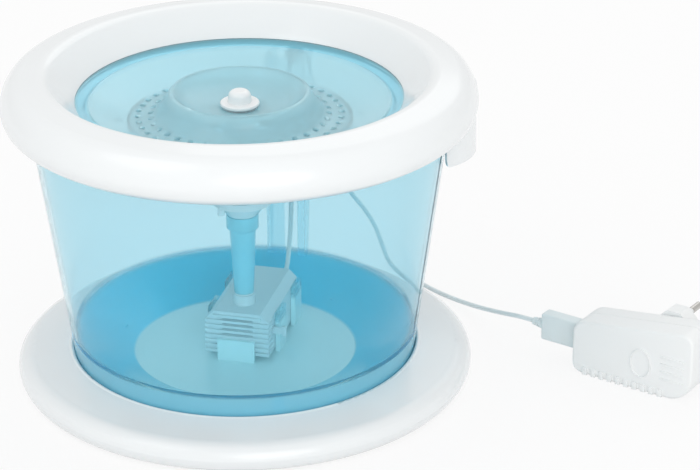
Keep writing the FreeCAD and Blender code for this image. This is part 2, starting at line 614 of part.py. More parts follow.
def make_tray():
    seat_z = "dish_flange_z - dish_t"
    body = turned("tray_shell", [
        ("pipe_r + fit_gap", "tray_z"), ("tray_r - 2", "tray_z", "2.2", 1), ("tray_r", "tray_z + 2"),
        ("tray_r", f"{seat_z} - 4.8"), ("dish_band_r + 2", f"{seat_z} - tray_t"),
        ("tray_flange_r", f"{seat_z} - tray_t"), ("tray_flange_r", seat_z), ("dish_band_r + 1", seat_z),
        ("tray_r - tray_t", f"{seat_z} - 4.3"), ("tray_r - tray_t", "tray_z + tray_t"),
        ("pipe_r + fit_gap + tray_t", "tray_z + tray_t"), ("pipe_r + fit_gap + tray_t", "strainer_z - 2"),
        ("pipe_r + fit_gap", "strainer_z - 2")])
    holes = []
    for row, (radius, count) in enumerate(TRAY_DRAIN_ROWS):
        maker = lambda mark, x, y: rod(mark, "tray_drain_r", "tray_t + 4", x, y, "tray_z - 2")
        holes += ring_of(f"tray_hole{row}_", count, radius, maker, 5 * row)
    node("filter_tray", cut("tray_cut", body, *holes))


def make_nozzle():
    disc_top = "seat_disc_z + seat_disc_t"
    flange_z = "spout_hole_z - dish_t - 0.2"
    nipple = "socket_bore_r - snug"
    body = turned("seat_shell", [
        (f"{nipple} - 1.8", "socket_z - socket_l + 1"), (nipple, "socket_z - socket_l + 1"),
        (nipple, "socket_z + 0.2"), ("socket_r - 0.4", "socket_z + 0.2"),
        ("seat_disc_r - 2.4", "seat_disc_z"),
        ("seat_disc_r", "seat_disc_z"), ("seat_disc_r", disc_top), ("pipe_r", disc_top),
        ("pipe_r", f"{flange_z} - 1.6"), ("spout_hole_r + 2", f"{flange_z} - 1.6"),
        ("spout_hole_r + 2", flange_z), ("pipe_r", flange_z), ("pipe_r", "pipe_top_z"),
        ("pipe_bore_r", "pipe_top_z"), ("pipe_bore_r", "seat_disc_z")])
    x, y = around("seat_disc_r - 1.4", 239)
    lug = rod("seat_lug", 1.9, 5, x, y, "seat_disc_z - 4")
    node("nozzle_seat", fuse("seat_fused", body, lug))

    disc_z = "cap_disc_z"
    dome_z = f"{disc_z} + cap_disc_t"
    cap = turned("cap_shell", [
        (0, disc_z), ("cap_disc_r - 0.6", disc_z), ("cap_disc_r", f"{disc_z} + 0.7"),
        ("cap_disc_r", f"{dome_z} - 0.8", "0.9", 1), ("cap_disc_r - 0.8", dome_z), ("cap_r", dome_z),
        ("cap_r - 0.5", f"{dome_z} + cap_h - 3", "3.4", 1), ("cap_r - 3.4", f"{dome_z} + cap_h"),
        (0, f"{dome_z} + cap_h")])
    stem_z = "(pipe_top_z - cap_stem_l)"
    stem = []
    for mark, wide, deep in (("a", 1, 0), ("b", 0, 1)):
        reach = "(pipe_bore_r - fit_gap)"
        length = f"{reach} * 2" if wide else "1.6"
        width = "1.6" if wide else f"{reach} * 2"
        stem.append(box(f"stem_{mark}", length, width, f"{disc_z} - {stem_z} + 0.5",
                        f"-({length}) / 2", f"-({width}) / 2", stem_z))
        length = "pipe_r * 1.8" if wide else "1.6"
        width = "1.6" if wide else "pipe_r * 1.8"
        stem.append(box(f"shoulder_{mark}", length, width, f"{disc_z} - pipe_top_z + 0.5",
                        f"-({length}) / 2", f"-({width}) / 2", "pipe_top_z"))
    node("nozzle_cap", fuse("cap_fused", cap, *stem))


# Riser
def make_riser():
    low = "spout_z + seal_t"
    flare = "socket_z - socket_l"
    node("riser_tube", turned("riser_shell", [
        ("nipple_r + snug", low), ("riser_low_r", low), ("riser_top_r", f"{flare} - 1.6"),
        ("socket_r", flare), ("socket_r", "socket_z"), ("socket_bore_r", "socket_z"),
        ("socket_bore_r", f"{flare} + 0.6"), ("riser_top_r - riser_wall", f"{flare} - 1"),
        ("nipple_r + snug", f"{low} + nipple_l + 1")]))
    ring = cut("seal_cut", rod("seal_out", "riser_low_r", "seal_t", 0, 0, "spout_z"),
               rod("seal_in", "nipple_r + run_gap", 3, 0, 0, "spout_z - 1"))
    node("outlet_seal", ring)


# Pump
def pump_section(name, grow, low_y, length):
    """The pump's outline with chamfered upper edges, grown or shrunk, from low_y along +Y."""
    half = f"(pump_half_w + ({grow}))"
    high = f"(pump_top_z + ({grow}))"
    low = f"(pump_low_z - ({grow}))"
    body = slab(name, [
        (f"-{half}", low), (half, low), (half, f"{high} - pump_chamfer"), (f"{half} - pump_chamfer", high),
        (f"pump_chamfer - {half}", high), (f"-{half}", f"{high} - pump_chamfer")], length)
    body.setExpression("Placement.Base.y", linked(low_y))
    return body


def make_pump():
    length = "pump_back_y - pump_plate_t - pump_split_y"
    block = pump_section("housing_block", 0, "pump_split_y", length)
    chamber_back = "pump_split_y + chamber_l"
    well_l = "rotor_l + 3"
    room_y = f"{chamber_back} + 1.4"
    room = cut("stator_room", box("room_box", "2 * (pump_half_w - pump_wall)", 60,
                                  "pump_top_z - pump_low_z - 2 * pump_wall - 2", "pump_wall - pump_half_w",
                                  room_y, "pump_low_z + pump_wall"),
               rod("well_wall_rod", "rotor_r + rotor_gap + well_wall", f"{well_l} + well_wall", 0, room_y,
                   "rotor_z", "y"))
    chamber = rod("chamber_room", "chamber_r", "chamber_l + 1", 0, "pump_split_y - 1", "rotor_z", "y")
    well = rod("well_room", "rotor_r + rotor_gap", well_l, 0, f"{chamber_back} - 1", "rotor_z", "y")
    spout = fuse("spout", rod("spout_collar", "spout_r", "spout_z - pump_top_z + 1", 0, 0, "pump_top_z - 1"),
                 rod("spout_nipple", "nipple_r", "nipple_l", 0, 0, "spout_z"))
    outlet = rod("outlet_room", "outlet_r", "spout_z + nipple_l + 5 - rotor_z", 0, 0, "rotor_z")
    studs = [rod(f"stud_hole{index}", 1.3, 1.6, x, y, "pump_low_z - 0.1")
             for index, (x, y) in enumerate(PUMP_FEET)]
    node("pump_housing", cut("housing_cut", fuse("housing_fused", block, spout), room, chamber, well, outlet,
                             *studs))

    plate = pump_section("back_plate", 0, "pump_back_y - pump_plate_t", "pump_plate_t")
    gland_hole = rod("gland_hole", 2.6, 10, LEAD_ROUTE[0][0], "pump_back_y - 5", LEAD_ROUTE[0][2], "y")
    node("pump_back_plate", cut("back_plate_cut", plate, gland_hole))

    gland = fuse("gland_solid", rod("gland_in", 2.5, "pump_plate_t + 1", LEAD_ROUTE[0][0],
                                    "pump_back_y - pump_plate_t - 1", LEAD_ROUTE[0][2], "y"),
                 taper("gland_out", 3.4, 2.2, 6, LEAD_ROUTE[0][0], "pump_back_y", LEAD_ROUTE[0][2], "y"))
    gland_bore = rod("gland_bore", "lead_r + run_gap", 20, LEAD_ROUTE[0][0], "pump_back_y - 8",
                     LEAD_ROUTE[0][2], "y")
    node("lead_gland", cut("gland_cut", gland, gland_bore))

    feet = []
    for index, (x, y) in enumerate(PUMP_FEET):
        cup = taper(f"cup{index}", 4.2, 2.4, "pump_low_z - sump_z", x, y, "sump_z")
        stud = rod(f"cup_stud{index}", 1.2, 1.4, x, y, "pump_low_z - 0.1")
        feet.append(fuse(f"pump_foot{index}", cup, stud))
    node("pump_feet", *feet)
    make_front_cover()
    make_rotor(chamber_back, well_l)
    make_stator(room_y, well_l)


PUMP_FEET = [(-12, 2), (12, 2), (-12, 38), (12, 38)]


def make_front_cover():
    shell = pump_section("cover_block", 0, "pump_front_y", "pump_split_y - pump_front_y")
    room = pump_section("cover_room", "-1.6", "pump_front_y + 1.6", "20")
    ribs = []
    slots = []
    for index in range(RIB_COUNT):
        z = f"pump_low_z + 1 + {index} * rib_pitch"
        inset = "0" if index < RIB_COUNT - 1 else "pump_chamfer"
        ribs.append(box(f"rib{index}", f"2 * (pump_half_w + rib_out * 0.4 - {inset})",
                        "rib_out + 8", "rib_t", f"{inset} - pump_half_w - rib_out * 0.4",
                        "pump_front_y - rib_out", z))
        if 0 < index < RIB_COUNT - 1:
            slots.append(box(f"intake_slot{index}", "pump_half_w", 4, "rib_pitch - rib_t - 0.3",
                             "-pump_half_w / 2", "pump_front_y - 2", f"{z} + rib_t + 0.15"))
    gate_slot = box("gate_slot", 10, 1.8, 5, "pump_half_w - 5", "pump_split_y - 3.9", "rotor_z - 2.5")
    spout_room = rod("spout_room", "spout_r + snug", 5, 0, 0, "pump_top_z - 1.1")
    node("pump_front_cover", cut("cover_cut", fuse("cover_fused", shell, *ribs), room, gate_slot, spout_room,
                                 *slots))

    node("intake_foam", box("foam_block", "2 * (pump_half_w - 3)", 5.6, "pump_top_z - pump_low_z - 9",
                            "3 - pump_half_w", "pump_front_y + 1.8", "pump_low_z + 1.8"))

    gate_y = "pump_split_y - 3.6"
    plate = box("gate_plate", 13, 1.2, 11, 2, gate_y, "rotor_z - 5.5")
    lever = box("gate_lever", "pump_half_w + gate_travel - 13", 1.2, 4, 14, gate_y, "rotor_z - 2")
    knob = box("gate_knob", 2.2, 1.8, 5.6, "pump_half_w + gate_travel + 0.6", f"{gate_y} - 0.3",
               "rotor_z - 2.8")
    node("flow_gate", fuse("gate_fused", plate, lever, knob))

    disc = rod("chamber_disc", "chamber_r - snug", 1.6, 0, "pump_split_y", "rotor_z", "y")
    hub_hole = rod("bush_hole", 2.2, 5, 0, "pump_split_y - 2", "rotor_z", "y")
    inlets = []
    for index in range(6):
        turn = 60 * index
        inlets.append(rod(f"inlet{index}", 1.8, 5, f"5.6 * cos(({turn}) * 1 deg)", "pump_split_y - 2",
                          f"rotor_z + 5.6 * sin(({turn}) * 1 deg)", "y"))
    node("chamber_cover", cut("chamber_cover_cut", disc, hub_hole, *inlets))


def make_rotor(chamber_back, well_l):
    hub_y = "pump_split_y + 2.2"
    hub = rod("impeller_hub", 3.2, "chamber_l - 1.6", 0, hub_y, "rotor_z", "y")
    back = rod("impeller_disc", "vane_r", 1, 0, f"{chamber_back} - 1.6", "rotor_z", "y")
    vanes = []
    for index in range(VANE_COUNT):
        vane = box(f"vane{index}", "vane_r", "chamber_l - 3.6", "vane_t", 0, 0, "-vane_t / 2")
        turn = FreeCAD.Rotation(FreeCAD.Vector(0, 1, 0), 360 * index / VANE_COUNT)
        holder = doc.addObject("Part::Compound", f"vane_turn{index}")
        holder.Links = [vane]
        holder.Placement = FreeCAD.Placement(FreeCAD.Vector(), turn)
        bind(holder, **{"Placement.Base.y": hub_y, "Placement.Base.z": "rotor_z"})
        vanes.append(holder)
    bore = rod("impeller_bore", "shaft_r + run_gap", 60, 0, -20, "rotor_z", "y")
    node("impeller", cut("impeller_cut", fuse("impeller_fused", hub, back, *vanes), bore))
    magnet = rod("magnet_rod", "rotor_r", "rotor_l", 0, f"{chamber_back} + 0.6", "rotor_z", "y")
    magnet_bore = rod("magnet_bore", "shaft_r + run_gap", 60, 0, -20, "rotor_z", "y")
    node("rotor_magnet", cut("magnet_cut", magnet, magnet_bore))

    end_y = f"{chamber_back} - 1 + {well_l}"
    node("impeller_shaft", rod("shaft_rod", "shaft_r", f"{end_y} - 0.2 - (pump_split_y + 0.1)", 0,
                               "pump_split_y + 0.1", "rotor_z", "y"))
    bushes = []
    for mark, radius, length, y in (("front", 2.1, "1.9", "pump_split_y"),
                                    ("rear", 4.6, "1.0", f"{end_y} - 1.05")):
        bore = rod(f"bush_bore_{mark}", "shaft_r + 0.02", 10, 0, f"({y}) - 3", "rotor_z", "y")
        bush_rod = rod(f"bush_rod_{mark}", radius, length, 0, y, "rotor_z", "y")
        bushes.append(cut(f"bush_{mark}", bush_rod, bore))
    node("shaft_bushes", *bushes)


def make_stator(room_y, well_l):
    half = "pump_half_w - pump_wall - 1.2"
    low = "pump_low_z + pump_wall"
    core = box("core_block", f"2 * ({half})", 12, "19", f"-({half})", f"{room_y} + 3", low)
    bore = rod("core_bore", "rotor_r + rotor_gap + well_wall + snug", 40, 0, room_y, "rotor_z", "y")
    slot = box("core_slot", 3, 40, 30, -1.5, room_y, "rotor_z")
    leg_y = f"{room_y} + 15"
    leg = box("core_leg", 8, f"pump_back_y - pump_plate_t - 1 - ({leg_y}) + 1", 8, -4, f"{leg_y} - 1", low)
    node("stator_core", cut("core_cut", fuse("core_fused", core, leg), bore, slot))
    coil_y = f"{room_y} + {well_l} + 2.4"
    coil_l = f"pump_back_y - pump_plate_t - 1.4 - ({coil_y})"
    bobbin = box("bobbin_tube", 10.4, coil_l, 10.2, -5.2, coil_y, low)
    leg_hole = box("bobbin_hole", 8.4, 60, 8.4, -4.2, f"{coil_y} - 10", f"{low} - 0.2")
    flanges = [box(f"bobbin_flange{index}", 20, 1.2, 18, -10, y, low)
               for index, y in enumerate((coil_y, f"{coil_y} + {coil_l} - 1.2"))]
    node("coil_bobbin", cut("bobbin_cut", fuse("bobbin_fused", bobbin, *flanges), leg_hole))
    wire = box("coil_block", 19, f"{coil_l} - 2.8", 17, -9.5, f"{coil_y} + 1.4", low)
    wire_hole = box("coil_hole", 10.6, 60, 10.4, -5.3, f"{coil_y} - 10", f"{low} - 0.2")
    node("stator_coil", cut("coil_cut", wire, wire_hole))


# Cord
def make_cord():
    for label, route in (("pump_lead", LEAD_ROUTE), ("supply_cord", CORD_ROUTE)):
        tube = doc.addObject("Part::Feature", label + "_tube")
        tube.Shape = pipe_along(route, number("lead_r"))
        node(label, tube)


# Adapter: X along its length from the USB end, Y from its front face, Z up
def adapter_outline(name, inset, depth):
    """The adapter's side outline, drawn in by an inset, padded along its depth."""
    corner = f"(adapter_corner - ({inset}))"
    bend = f"(adapter_bend - ({inset}))"
    return slab(name, [
        (f"{inset}", f"{inset} + {corner}", corner, 1), (f"{inset} + {corner}", f"{inset}"),
        (f"adapter_l - ({inset}) - {bend}", f"{inset}", bend, 1),
        (f"adapter_l - ({inset})", f"{inset} + {bend}"),
        (f"adapter_l - ({inset})", f"adapter_high_h - ({inset}) - {corner} * 1.15", corner, 1),
        (f"adapter_l - ({inset}) - {corner} * 1.1", f"adapter_high_h - ({inset}) - {corner} * 0.02"),
        (f"{inset} + {corner} * 0.85", f"adapter_low_h - ({inset}) + 0.3", corner, 1),
        (f"{inset}", f"adapter_low_h - ({inset}) - {corner}")], depth)


def make_adapter():
    half = "adapter_d / 2"
    usb_hole = box("usb_hole", 16, "shell_d + 1.4", "shell_h + 1.4", -1, f"{half} - shell_d / 2 - 0.7",
                   "usb_z - shell_h / 2 - 0.7")
    front = adapter_outline("front_block", 0, half)
    front_room = adapter_outline("front_room", "adapter_wall", half)
    front_room.setExpression("Placement.Base.y", linked("adapter_wall"))
    notches = []
    for index in range(NOTCH_COUNT):
        notches.append(box(f"notch{index}", 2.2, 3, 2.6, f"8 + {index} * 5", -2.2, -0.6))
    badge = rod("oval_groove_out", 7.2, 0.5, 43.2, -0.01, 16.3, "y")
    badge_in = rod("oval_groove_in", 6.2, 2, 43.2, -1, 16.3, "y")
    groove = cut("oval_groove", badge, badge_in)
    grips = [box(f"grip_line{index}", 14, 0.5, 0.9, 54, -0.01, f"14 + {index} * 4") for index in range(3)]
    node("adapter_front_shell", cut("front_cut", front, front_room, usb_hole, groove, *notches, *grips),
         with_adapter=True)

    rear = adapter_outline("rear_block", 0, half)
    rear.setExpression("Placement.Base.y", linked(half))
    rear_room = adapter_outline("rear_room", "adapter_wall", f"{half} - adapter_wall")
    rear_room.setExpression("Placement.Base.y", linked(half))
    chamfer = 8
    left, right = "head_s - head_w / 2", "head_s + head_w / 2"
    low, high = "head_z - head_h / 2", "head_z + head_h / 2"
    head = slab("head_block", [
        (f"{left} + {chamfer}", low), (f"{right} - {chamfer}", low), (right, f"{low} + {chamfer}"),
        (right, f"{high} - {chamfer}"), (f"{right} - {chamfer}", high), (f"{left} + {chamfer}", high),
        (left, f"{high} - {chamfer}"), (left, f"{low} + {chamfer}")], "head_d + 1")
    head.setExpression("Placement.Base.y", linked("adapter_d - 1"))
    pin_holes = []
    pins = []
    sleeves = []
    face = "adapter_d + head_d"
    for index, side in enumerate((-1, 1)):
        z = f"head_z + {side} * pin_gap / 2"
        neck = cut(f"pin_neck{index}",
                   rod(f"pin_neck_out{index}", "pin_r + 1", "pin_l / 2 + head_d + 2", "head_s",
                       f"{face} - head_d - 2", z, "y"),
                   rod(f"pin_neck_in{index}", "pin_r - 0.5", "pin_l + head_d + 4", "head_s",
                       f"{face} - head_d - 3", z, "y"))
        pin_holes.append(rod(f"pin_hole{index}", "sleeve_r + snug", "head_d + 6", "head_s", "adapter_d - 5",
                             z, "y"))
        pins.append(cut(f"pin{index}", rod(f"pin_rod{index}", "pin_r", "pin_l + head_d + 1", "head_s",
                                           f"{face} - head_d - 1", z, "y"), neck))
        sleeves.append(cut(f"sleeve{index}",
                           rod(f"sleeve_out{index}", "sleeve_r", "pin_l / 2 + head_d + 0.98", "head_s",
                               f"{face} - head_d - 1", z, "y"),
                           rod(f"sleeve_in{index}", "pin_r - 0.48", "pin_l + head_d + 4", "head_s",
                               f"{face} - head_d - 2", z, "y")))
    rear_body = fuse("rear_fused", rear, head)
    node("adapter_rear_shell", cut("rear_cut", rear_body, rear_room, usb_hole, *pin_holes), with_adapter=True)
    node("plug_pins", *pins, with_adapter=True)
    node("pin_sleeves", *sleeves, with_adapter=True)

    socket = cut("socket_cut", box("socket_box", 13, "shell_d + 1", "shell_h + 1", 0.2,
                                   f"{half} - shell_d / 2 - 0.5", "usb_z - shell_h / 2 - 0.5"),
                 box("socket_room", 12.6, "shell_d + 0.3", "shell_h + 0.3", -0.2,
                     f"{half} - shell_d / 2 - 0.15", "usb_z - shell_h / 2 - 0.15"))
    node("usb_socket", socket, with_adapter=True)
    board_y = f"{half} + shell_d / 2 + 0.5"
    node("adapter_board", box("board_box", 58, 1.6, 24, 6, board_y, 5), with_adapter=True)
    node("transformer", box("transformer_box", 16, 9, 14, 28, f"({board_y}) - 9", 9), with_adapter=True)

    grip = box("grip_box", "usb_l", "usb_d", "usb_h", "-usb_l - 0.4", f"{half} - usb_d / 2",
               "usb_z - usb_h / 2")
    cord_hole = rod("grip_hole", "lead_r + snug", 7, "-usb_l - 1", half, "usb_z", "x")
    shell_slot = box("grip_slot", 8, "shell_d + 0.1", "shell_h + 0.1", "-8", f"{half} - shell_d / 2 - 0.05",
                     "usb_z - shell_h / 2 - 0.05")
    node("usb_plug", cut("grip_cut", grip, cord_hole, shell_slot), with_adapter=True)
    shell = cut("shell_cut", box("shell_box", "shell_l + 7", "shell_d", "shell_h", "-7.2",
                                 f"{half} - shell_d / 2", "usb_z - shell_h / 2"),
                box("shell_room", 11, "shell_d - 0.8", "shell_h - 0.8", 2, f"{half} - shell_d / 2 + 0.4",
                    "usb_z - shell_h / 2 + 0.4"))
    node("usb_shell", shell, with_adapter=True)
    relief = cut("relief_cut", taper("relief_cone", 2.2, 3.2, 7, "-usb_l - 7.4", half, "usb_z", "x"),
                 rod("relief_bore", "lead_r + run_gap", 20, "-usb_l - 12", half, "usb_z", "x"))
    node("strain_relief", relief, with_adapter=True)


def check_and_export():
    """Stops at any feature in error or any empty shape, then writes one STEP file per node."""
    doc.recompute()
    for thing in doc.Objects:
        faults = [word for word in thing.State if word in ("Invalid", "Error", "Touched")]
        if faults:
            raise RuntimeError(f"{thing.Name} ({thing.Label}) is {faults}")
    os.makedirs("parts", exist_ok=True)
    for thing in NODES:
        shape = thing.Shape
        if shape.isNull() or not shape.isValid() or not shape.Solids or shape.Volume < 0.1:
            raise RuntimeError(f"{thing.Label} has no good solid")
        shape.exportStep(f"parts/{thing.Label}.step")
        print("%-22s solids %2d volume %10.1f" % (thing.Label, len(shape.Solids), shape.Volume))


def main():
    make_base()
    make_tub()
    make_duct()
    make_ring()
    make_dish()
    make_strainer()
    make_tray()
    make_nozzle()
    make_riser()
    make_pump()
    make_cord()
    make_adapter()
    check_and_export()


main()
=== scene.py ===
"""Pet water fountain: the finish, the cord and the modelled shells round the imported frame.

Metres and radians. Z is up, +Y points to the cable duct, and X = Y = 0 is the riser's axis.
"""
import json
import math

import bmesh
import bpy
from mathutils import Matrix, Vector


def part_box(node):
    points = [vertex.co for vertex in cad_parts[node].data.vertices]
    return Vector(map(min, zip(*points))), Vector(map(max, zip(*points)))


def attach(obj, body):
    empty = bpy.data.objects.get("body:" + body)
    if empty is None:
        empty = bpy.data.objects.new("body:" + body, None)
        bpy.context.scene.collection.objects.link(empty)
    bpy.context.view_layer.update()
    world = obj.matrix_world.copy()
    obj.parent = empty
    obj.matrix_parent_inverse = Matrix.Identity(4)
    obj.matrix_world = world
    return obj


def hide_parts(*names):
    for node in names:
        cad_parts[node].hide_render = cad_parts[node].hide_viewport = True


bl_info = {
    "name": "Pet water fountain",
    "version": (1, 0, 0),
    "blender": (4, 5, 0),
    "location": "3D View > Sidebar > Fountain",
    "description": "Builds the looks of a pet water fountain round its packed frame",
    "category": "Add Mesh",
}

MM = 0.001
ADAPTER_TURN = math.radians(-20.8)
ADAPTER_PLACE = (0.1772, 0.0346, 0)
HOOD_TURN = math.radians(17.7)
HOOD_HALF_TURN = math.radians(66)
HOOD_PLACE = 0.096
HOOD_RADIUS = 0.031
HOOD_LOW = 0.128
HOOD_TOP = 0.166
HOOD_CORNER = 0.007
FOAM_PLAY = 0.0002
# In millimetres, in the adapter's own frame
ADAPTER_LONG = 74.5
ADAPTER_TALL = 41.4
ADAPTER_LOW_END = 31.0
MOULD_LINE = 14.0
MOULD_GAP = 0.1
PLUG_Y = 14
PLUG_Z = 16.5
OVAL_CENTRE = (43.2 * MM, 1.1 * MM, 16.8 * MM)
# Outlines of the round pieces: radius, height and rounding in millimetres
RING_OUTLINE = [
    (106, 177.5, 2), (102.6, 176.4, 3), (89.4, 163.6, 1.6), (87.6, 161.4, 0.5), (91.4, 161.4),
    (103.2, 173.4, 3), (106, 175.1, 2), (117.4, 172.9, 5), (124.4, 166.7, 4), (125, 160, 4),
    (121.2, 153.6, 2), (115.2, 152, 0.5), (115.2, 149.4, 0.9), (122.6, 151.2, 4.5),
    (127.9, 157.6, 5.5), (127.0, 169.2, 7), (119.2, 175.6, 7)]
RIB_OUTLINE = [(105, 159.9), (107, 159.9), (107, 174.6), (105, 174.6)]
DISH_OUTLINE = [
    (9.2, 155.3, 0.4), (20, 156.3, 4), (29, 159.0, 4), (33.6, 162.8, 2.2), (36.5, 165.2, 1.6),
    (39.3, 161.8, 2), (42.2, 156.0, 4), (46.2, 152.1, 3), (51, 151, 3), (57.5, 151, 3),
    (79.0, 158.6, 1.6), (80.5, 159.6, 0.8), (81.9, 158.9, 0.8), (86.5, 161.3, 1), (100, 161.3, 0.3),
    (100, 159.3, 0.3), (87.1, 159.3, 1), (80.5, 156.9, 2), (57.9, 149, 2), (50.1, 149, 3),
    (45.1, 150.0, 3), (40.3, 155.3, 3), (37.3, 161.9, 1.2), (35.9, 162.8, 0.8),
    (34.4, 160.9, 1.5), (29.6, 157.0, 3), (20.4, 154.4, 3), (9.2, 153.3, 0.4)]
# The strain relief's sleeve: place along the plug's axis and radius in millimetres
SLEEVE_OUTLINE = [
    (-32.4, 1.35), (-32.4, 2.2), (-30.6, 2.4), (-30.5, 1.9), (-30.0, 1.9), (-29.9, 2.5), (-28.6, 2.7),
    (-28.5, 2.1), (-28.0, 2.1), (-27.9, 2.8), (-25.4, 3.2), (-25.4, 1.35), (-32.4, 1.35)]
# Rows of drain holes: radius in metres, count, and the first hole's turn in degrees
DRAIN_ROWS = ((0.0545, 42, 0), (0.0477, 36, 3))
DRAIN_RADIUS = 0.0017
DRAIN_HEIGHT = 0.151
# Soft edges of the zones in the tub's and the dish's plastic, where the tub's floor and skirt zones hold
# painted shade and painted light: 0 at the first value, 1 at the second
PAINTED_FLOOR_SHADE_EDGE = (0.0335, 0.0275)
PAINTED_SKIRT_LIGHT_EDGE = (0.0315, 0.0285)
WALL_EDGE = (0.0935, 0.0905)
SUMP_EDGE = (0.0625, 0.0605)
BAND_START = (0.0800, 0.0825)
BAND_END = (0.0878, 0.0866)
# Lamps: name, place, width and power
LAMPS = (("key", (-0.9, -1.1, 1.7), 1.4, 4.5), ("fill", (0.9, -1.7, 0.75), 1.4, 9.0),
         ("back", (0.1, 1.6, 1.5), 1.5, 3.5))
LAMP_AIM = (0, 0, 0.08)
WORLD_LIGHT = 0.85
FLOOR_GLOW = 0.85
CAMERA_LENS = 140.308
CAMERA_PLACE = (0.38534, -1.3009, 0.69862)
CAMERA_TURN = (65.4491, 0.276, 13.9016)
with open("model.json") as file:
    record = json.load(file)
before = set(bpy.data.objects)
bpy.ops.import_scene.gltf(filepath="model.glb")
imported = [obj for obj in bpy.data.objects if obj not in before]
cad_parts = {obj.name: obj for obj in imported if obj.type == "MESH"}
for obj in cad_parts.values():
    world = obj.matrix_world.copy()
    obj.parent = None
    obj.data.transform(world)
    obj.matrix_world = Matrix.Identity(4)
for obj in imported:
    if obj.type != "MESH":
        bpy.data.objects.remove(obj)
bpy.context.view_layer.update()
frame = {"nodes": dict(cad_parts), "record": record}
NODES = frame["nodes"]


class Wire:
    """A shader socket whose sums, products and powers add their Math nodes."""

    def __init__(self, tree, socket):
        self.tree = tree
        self.socket = socket

    def maths(self, operation, first, second):
        node = self.tree.nodes.new("ShaderNodeMath")
        node.operation = operation
        for place, value in zip(node.inputs, (first, second)):
            if isinstance(value, Wire):
                self.tree.links.new(value.socket, place)
            else:
                place.default_value = value
        return Wire(self.tree, node.outputs[0])

    def __add__(self, other):
        return self.maths("ADD", self, other)

    def __radd__(self, other):
        return self.maths("ADD", other, self)

    def __sub__(self, other):
        return self.maths("SUBTRACT", self, other)

    def __rsub__(self, other):
        return self.maths("SUBTRACT", other, self)

    def __mul__(self, other):
        return self.maths("MULTIPLY", self, other)

    def __rmul__(self, other):
        return self.maths("MULTIPLY", other, self)

    def __pow__(self, other):
        return self.maths("POWER", self, other)

    def largest(self, other):
        return self.maths("MAXIMUM", self, other)


class Finish:
    """A material, its Principled shader and the nodes that feed it."""

    def __init__(self, name, **sockets):
        self.material = bpy.data.materials.new(name)
        self.material.use_nodes = True
        self.tree = self.material.node_tree
        self.shader = self.tree.nodes["Principled BSDF"]
        self.set(**sockets)

    def set(self, **sockets):
        """Sets or links the shader's sockets; a name's underscores stand for spaces."""
        for name, value in sockets.items():
            self.feed(self.shader.inputs[name.replace("_", " ")], value)

    def feed(self, place, value):
        if isinstance(value, Wire):
            self.tree.links.new(value.socket, place)
        else:
            place.default_value = value

    def node(self, kind, settings=None, output=0, **sockets):
        """Adds a node, sets it up first, then its sockets, and returns one output."""
        made = self.tree.nodes.new(kind)
        for name, value in (settings or {}).items():
            setattr(made, name, value)
        for name, value in sockets.items():
            key = int(name[1:]) if name[0] == "i" and name[1:].isdigit() else name.replace("_", " ")
            self.feed(made.inputs[key], value)
        return Wire(self.tree, made.outputs[output])

    def spot(self):
        """The object coordinates as one vector."""
        return self.node("ShaderNodeTexCoord", output="Object")

    def axes(self):
        """The X, Y and Z of the object coordinates."""
        parts = self.tree.nodes.new("ShaderNodeSeparateXYZ")
        self.tree.links.new(self.spot().socket, parts.inputs[0])
        return [Wire(self.tree, socket) for socket in parts.outputs]

    def noise(self, spot, scale, detail=3.0):
        return self.node("ShaderNodeTexNoise", {"noise_dimensions": "3D"}, Vector=spot, Scale=scale,
                         Detail=detail)

    def ramp(self, value, start, end):
        """Goes smoothly from 0 at one value to 1 at another."""
        return self.node("ShaderNodeMapRange", {"interpolation_type": "SMOOTHSTEP"}, Value=value,
                         From_Min=start, From_Max=end)

    def mix(self, share, first, second):
        """Mixes two colours."""
        return self.node("ShaderNodeMix", {"data_type": "RGBA"}, output=2, i0=share, i6=first, i7=second)

    def blend(self, share, first, second):
        """Mixes two shaders."""
        node = self.tree.nodes.new("ShaderNodeMixShader")
        self.feed(node.inputs[0], share)
        self.tree.links.new(first, node.inputs[1])
        self.tree.links.new(second, node.inputs[2])
        return node.outputs[0]

    def show(self, shader):
        self.tree.links.new(shader, self.tree.nodes["Material Output"].inputs["Surface"])

    def bump(self, height, strength, distance):
        return self.node("ShaderNodeBump", Height=height, Strength=strength, Distance=distance)


def colour(red, green, blue):
    """A linear colour from 8-bit screen values."""
    parts = []
    for value in (red, green, blue):
        value /= 255
        parts.append(value / 12.92 if value <= 0.04045 else ((value + 0.055) / 1.055) ** 2.4)
    return (*parts, 1.0)


def moulded(name, tint, rough=0.3, grain=900.0, depth=0.00002, **sockets):
    """Moulded plastic or rubber: a faint cloud in its colour, gloss and surface."""
    finish = Finish(name, **sockets)
    spot = finish.spot()
    cloud = finish.noise(spot, 14.0)
    shade = tuple(value * 0.965 for value in tint[:3]) + (1.0,)
    finish.set(Base_Color=finish.mix(cloud, tint, shade), Roughness=cloud * 0.06 + (rough - 0.03),
               Normal=finish.bump(finish.noise(spot, grain, 2.0), 0.25, depth))
    return finish.material


def root_tint(tint):
    """The share of light that one face of a wall passes: the tint is for both faces."""
    return tuple(value ** 0.5 for value in tint[:3]) + (1.0,)


